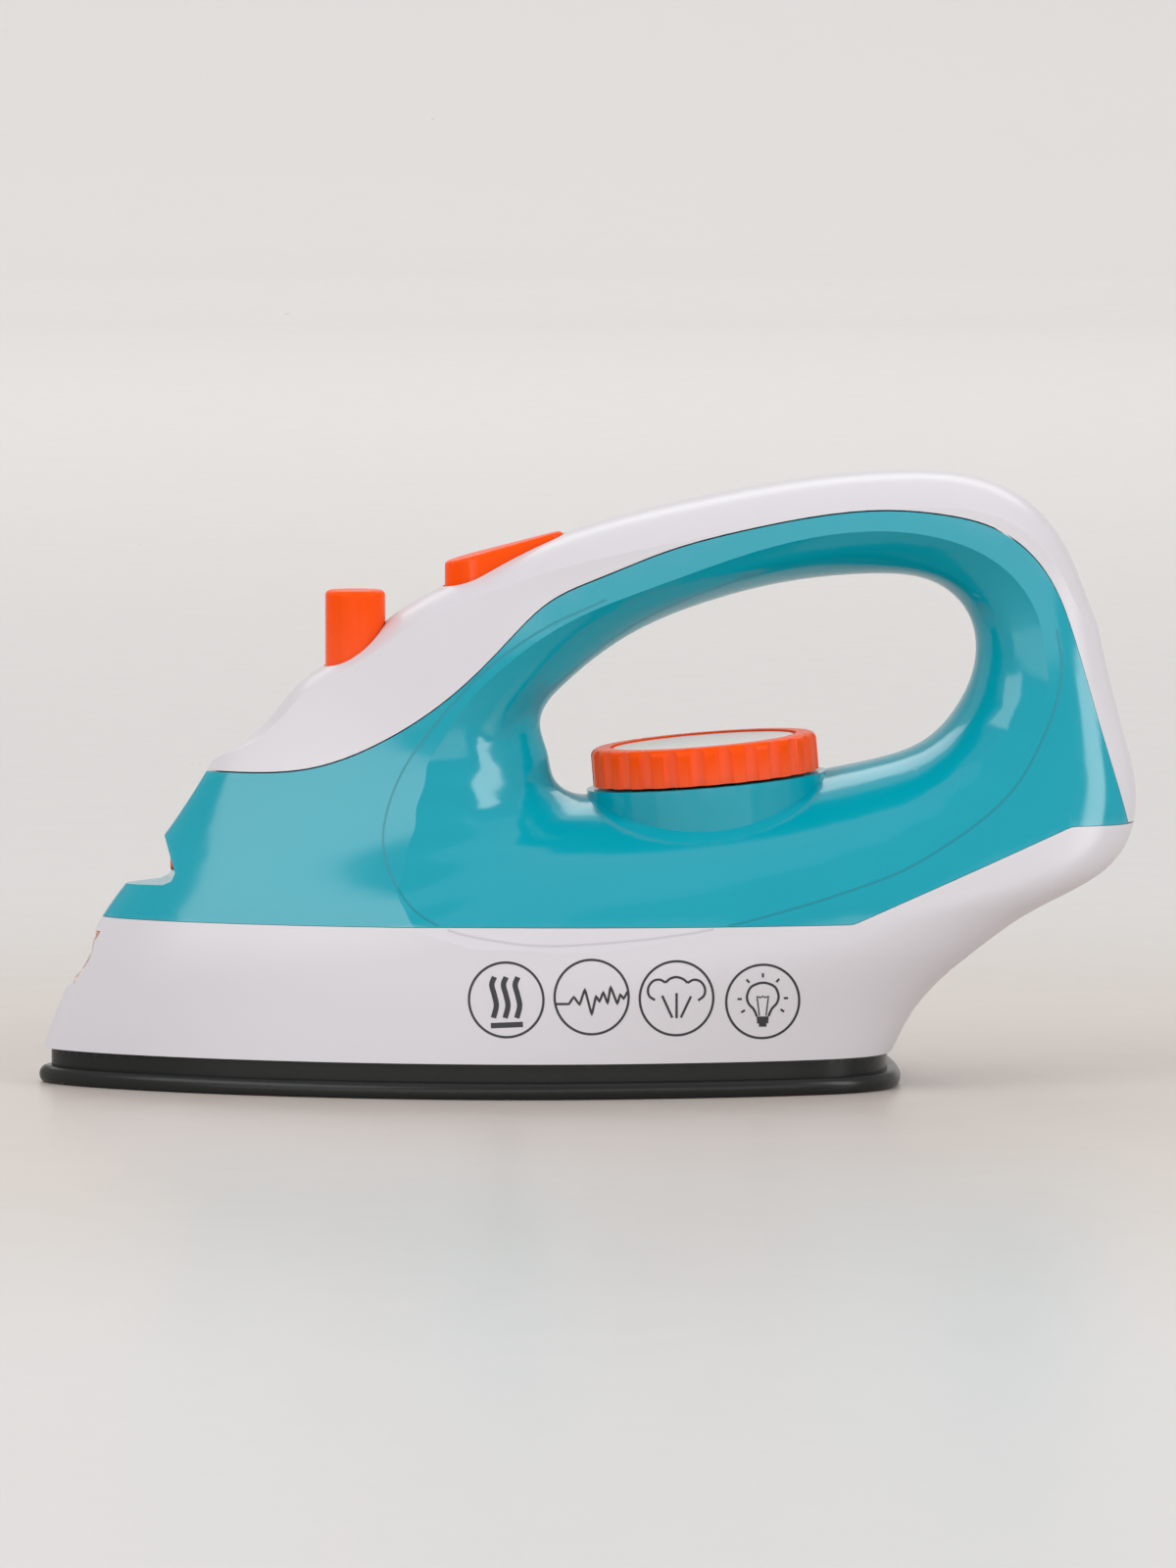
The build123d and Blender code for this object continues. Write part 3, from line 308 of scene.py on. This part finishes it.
HEAT_WAVE = ((0.1, 4.7), (-0.45, 3.1), (0.05, 1.0), (0.45, -1.2), (-0.15, -3.7))
SOUND_LINE = (
    (-7.6, -1.4), (-4.7, -1.4), (-3.7, 0.1), (-2.5, -1.6), (-1.4, 1.7), (0.0, -3.7), (0.9, 0.3),
    (1.6, -1.0), (2.4, 1.1), (3.3, -1.4), (3.9, 2.2), (5.3, -1.5), (5.9, 0.6), (6.6, -0.4),
    (7.5, 1.2),
)
CLOUD_LEFT = ((-4.5, -0.3), (-5.7, 0.6), (-5.9, 2.2), (-4.9, 3.6), (-3.5, 3.9), (-2.3, 3.3))
CLOUD_MIDDLE = ((-2.3, 3.3), (-1.3, 4.1), (0.0, 4.4), (1.3, 4.0), (2.3, 3.2))
CLOUD_RIGHT = ((2.3, 3.2), (3.6, 3.8), (5.0, 3.4), (5.9, 2.0), (5.7, 0.5), (4.5, -0.5))
BULB = (
    (-1.2, -3.1), (-1.9, -1.6), (-3.0, -0.3), (-3.3, 1.2), (-2.6, 2.9), (-1.2, 3.7), (0.0, 3.9),
    (1.2, 3.7), (2.6, 2.9), (3.3, 1.2), (3.0, -0.3), (1.9, -1.6), (1.2, -3.1),
)
FILAMENT = ((-0.7, -3.0), (-1.2, 1.1), (-0.5, 0.8), (0.0, 1.1), (0.5, 0.8), (1.2, 1.1), (0.7, -3.0))
BULB_RAYS = (50, 90, 130, 0, 180, -32, 212)
BULB_CAP = ((1.25, -3.5), (1.2, -4.2), (0.8, -4.9))
STEAM_JETS = (((-3.0, 0.6), (-0.9, -4.0)), ((0, 1.1), (0, -4.1)), ((3.0, 0.4), (0.9, -4.0)))
HEAT_PLATE = ((-3.2, -5.3), (3.4, -5.0))

skirt_nose, _, skirt_foot = (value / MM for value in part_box("lower_housing")[0])

# each picture: how far its centre is behind the skirt's nose and above the skirt's lower edge,
# in mm, then its strokes as (line, width)
PICTURES = {
    "heat": (
        94.94, 15.8,
        [(smooth_path([(x + shift, z) for x, z in HEAT_WAVE]), BOLD_LINE) for shift in (-2.5, -0.1, 2.3)]
        + [(straight_path(HEAT_PLATE), BOLD_LINE)],
    ),
    "sound": (112.54, 16.4, [(straight_path(SOUND_LINE), FINE_LINE)]),
    "steam": (
        130.14, 16.0,
        [(smooth_path(line), FINE_LINE) for line in (CLOUD_LEFT, CLOUD_MIDDLE, CLOUD_RIGHT)]
        + [(straight_path(line), FINE_LINE) for line in STEAM_JETS],
    ),
    "light": (
        148.14, 15.05,
        [(smooth_path(BULB), FINE_LINE), (straight_path(FILAMENT), THREAD_LINE)]
        + [(straight_path(((-half, z), (half, z))), CAP_LINE) for half, z in BULB_CAP]
        + [(ray_of_light(angle), RAY_LINE) for angle in BULB_RAYS],
    ),
}


def ray_target(name):
    """Ray target made from a CAD node."""
    mesh = nodes[name].data
    return BVHTree.FromPolygons(
        [vertex.co.copy() for vertex in mesh.vertices],
        [tuple(face.vertices) for face in mesh.polygons],
    )


TARGETS = {name: ray_target(name) for name in ("lower_housing", "side_shell_left", "side_shell_right")}


def flank_hit(spot, side):
    """First point of the shells met by a level ray from one side, and the node it lies on."""
    start = Vector((spot.x, side * RAY_START, spot.y)) * MM
    best = None
    for name, target in TARGETS.items():
        hit, _, _, reach = target.ray_cast(start, Vector((0, -side, 0)))
        if hit is not None and (best is None or reach < best[2]):
            best = (hit, name, reach)
    return best


def add_ribbon(ink_mesh, line, width, owner, side):
    """Thin flat ribbon laid along a line where it crosses one CAD node."""
    closed = (line[0] - line[-1]).length < 1e-4
    rails = []
    for i, point in enumerate(line):
        run = line[min(i + 1, len(line) - 1)] - line[max(i - 1, 0)]
        if closed and i in (0, len(line) - 1):
            run = line[1] - line[-2]
        aside = Vector((-run.y, run.x)).normalized() * width / 2
        pair = [flank_hit(spot, side) for spot in (point - aside, point + aside)]
        if all(hit is not None and hit[1] == owner for hit in pair):
            lift = Vector((0, side * INK_LIFT * MM, 0))
            rails.append([ink_mesh.verts.new(hit[0] + lift) for hit in pair])
        else:
            rails.append(None)
    for low, high in zip(rails, rails[1:]):
        if low and high:
            ink_mesh.faces.new((low[0], high[0], high[1], low[1]))


def lay_ribbons(name, strokes, owner, side, material):
    """One piece made of ribbons, each given as (line, width)."""
    ink_mesh = bmesh.new()
    for line, width in strokes:
        add_ribbon(ink_mesh, line, width, owner, side)
    bmesh.ops.recalc_face_normals(ink_mesh, faces=ink_mesh.faces)
    mesh = bpy.data.meshes.new(name)
    ink_mesh.to_mesh(mesh)
    ink_mesh.free()
    new_piece(name, mesh, material, "body")


for picture_name, (behind, above, picture_strokes) in PICTURES.items():
    centre = Vector((skirt_nose + behind, skirt_foot + above))
    placed = [
        ([centre + point for point in line], width)
        for line, width in picture_strokes + [(circle_path(PICTURE_RADIUS), FINE_LINE)]
    ]
    lay_ribbons("pictogram_" + picture_name, placed, "lower_housing", -1, ink)

# fine line of painted shade round the raised ring of the hand opening, standing in for the shadow of a
# fine groove, open along the top of the handle
RING_LINE = (
    (3.0, 101.6), (-10.2, 95.4), (-22.4, 86.7), (-33.5, 74.8), (-40.8, 63.8), (-43.9, 51.9),
    (-40.3, 41.5), (-33.4, 35.6), (-22.4, 32.7), (-6.5, 31.7), (23.8, 34.9), (54.4, 42.9),
    (70.1, 49.5), (85.9, 60.6), (94.4, 73.4), (98.2, 85.3), (97.4, 95.0),
)
ring_strokes = [(smooth_path(RING_LINE, 20), RING_WIDTH)]
for hand, side in (("left", -1), ("right", 1)):
    shell = "side_shell_" + hand
    lay_ribbons("ring_line_" + hand, ring_strokes, shell, side, shade_teal)
    lay_ribbons(
        "ring_line_skirt_" + hand, ring_strokes, "lower_housing", side, shade_white
    )


def closing_spring(name):
    """Steel copy of a spring that rides on the body, with its CAD node hidden."""
    mesh = nodes[name].data.copy()
    mesh.materials.clear()
    piece = new_piece(name + "_coil", mesh, steel, "body")
    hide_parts(name)
    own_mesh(piece)


closing_spring("pump_spring")
closing_spring("trigger_spring")


# ---------------------------------------------------------------- floor and light
def floor_material():
    """Satin studio floor with a painted shadow: darker and warmer near the object."""
    material = plastic("studio_floor", FLOOR, 0.3, tint_shift=0.01, grain_mm=2.0)
    tree = material.node_tree
    shader = tree.nodes["Principled BSDF"]
    place = tree.nodes.new("ShaderNodeTexCoord")
    # painted shadow: the floor colour turns darker and warmer close to the object
    away = add_node(tree, "ShaderNodeVectorMath", operation="LENGTH")
    tree.links.new(place.outputs["Object"], away.inputs[0])
    near = add_node(
        tree, "ShaderNodeMapRange", interpolation_type="SMOOTHSTEP", From_Min=0.12, From_Max=0.55,
        To_Min=1.0, To_Max=0.0,
    )
    tree.links.new(away.outputs["Value"], near.inputs["Value"])
    painted_shadow = add_node(tree, "ShaderNodeMix", data_type="RGBA")
    painted_shadow.inputs["A"].default_value = (*FLOOR, 1.0)
    painted_shadow.inputs["B"].default_value = (FLOOR[0] * 0.91, FLOOR[1] * 0.835, FLOOR[2] * 0.785, 1.0)
    tree.links.new(near.outputs["Result"], painted_shadow.inputs["Factor"])
    tree.links.new(painted_shadow.outputs["Result"], shader.inputs["Base Color"])
    return material


def make_floor():
    """Pale sweep: a floor that curves up into a backdrop."""
    depth_front, depth_back, rise, half_side, bend = 4.0, 6.0, 4.0, 6.0, 2.0
    profile = [(-depth_front, 0.0), (depth_back - bend, 0.0)]
    for i in range(1, 13):
        turn = math.radians(90.0 * i / 12)
        profile.append((depth_back - bend + bend * math.sin(turn), bend - bend * math.cos(turn)))
    profile.append((depth_back, rise))
    sweep = bmesh.new()
    rows = [
        [sweep.verts.new((x, y, z)) for x in (-half_side, half_side)] for y, z in profile
    ]
    for low, high in zip(rows, rows[1:]):
        sweep.faces.new((low[0], low[1], high[1], high[0]))
    mesh = bpy.data.meshes.new("floor")
    sweep.to_mesh(mesh)
    sweep.free()
    mesh.polygons.foreach_set("use_smooth", [True] * len(mesh.polygons))
    floor = bpy.data.objects.new("floor", mesh)
    bpy.context.scene.collection.objects.link(floor)
    mesh.materials.append(floor_material())


def make_world(grey, strength):
    """Even grey surroundings."""
    world = bpy.data.worlds.new("studio")
    bpy.context.scene.world = world
    world.use_nodes = True
    background = world.node_tree.nodes["Background"]
    background.inputs["Color"].default_value = (grey, grey, grey, 1.0)
    background.inputs["Strength"].default_value = strength


# name, place, aim, size, power
STUDIO_LIGHTS = (
    ("key", (-1.39, -1.09, 1.48), (0, 0, 0.05), (1.5, 1.2), 18),
    ("top", (0.2, 0.0, 2.2), (0, 0.0, 0.0), (2.2, 1.8), 4),
    ("fill", (1.69, -1.06, 0.93), (0, 0, 0.05), (0.6, 1.5), 17),
    ("back_wash", (0.0, 3.2, 2.6), (0, 3.6, 0.0), (5.0, 2.4), 74),
)
# wide low panel that only shows as a reflection along the skirt
LOW_PANEL = ("low_panel", (-0.3, -2.4, 0.52), (0, 0, 0.4), (5.0, 1.0), 24)

make_floor()
for light in STUDIO_LIGHTS:
    area_light(*light)
area_light(*LOW_PANEL).visible_diffuse = False
make_world(0.9, 0.72)
bpy.context.scene.view_settings.view_transform = "Standard"
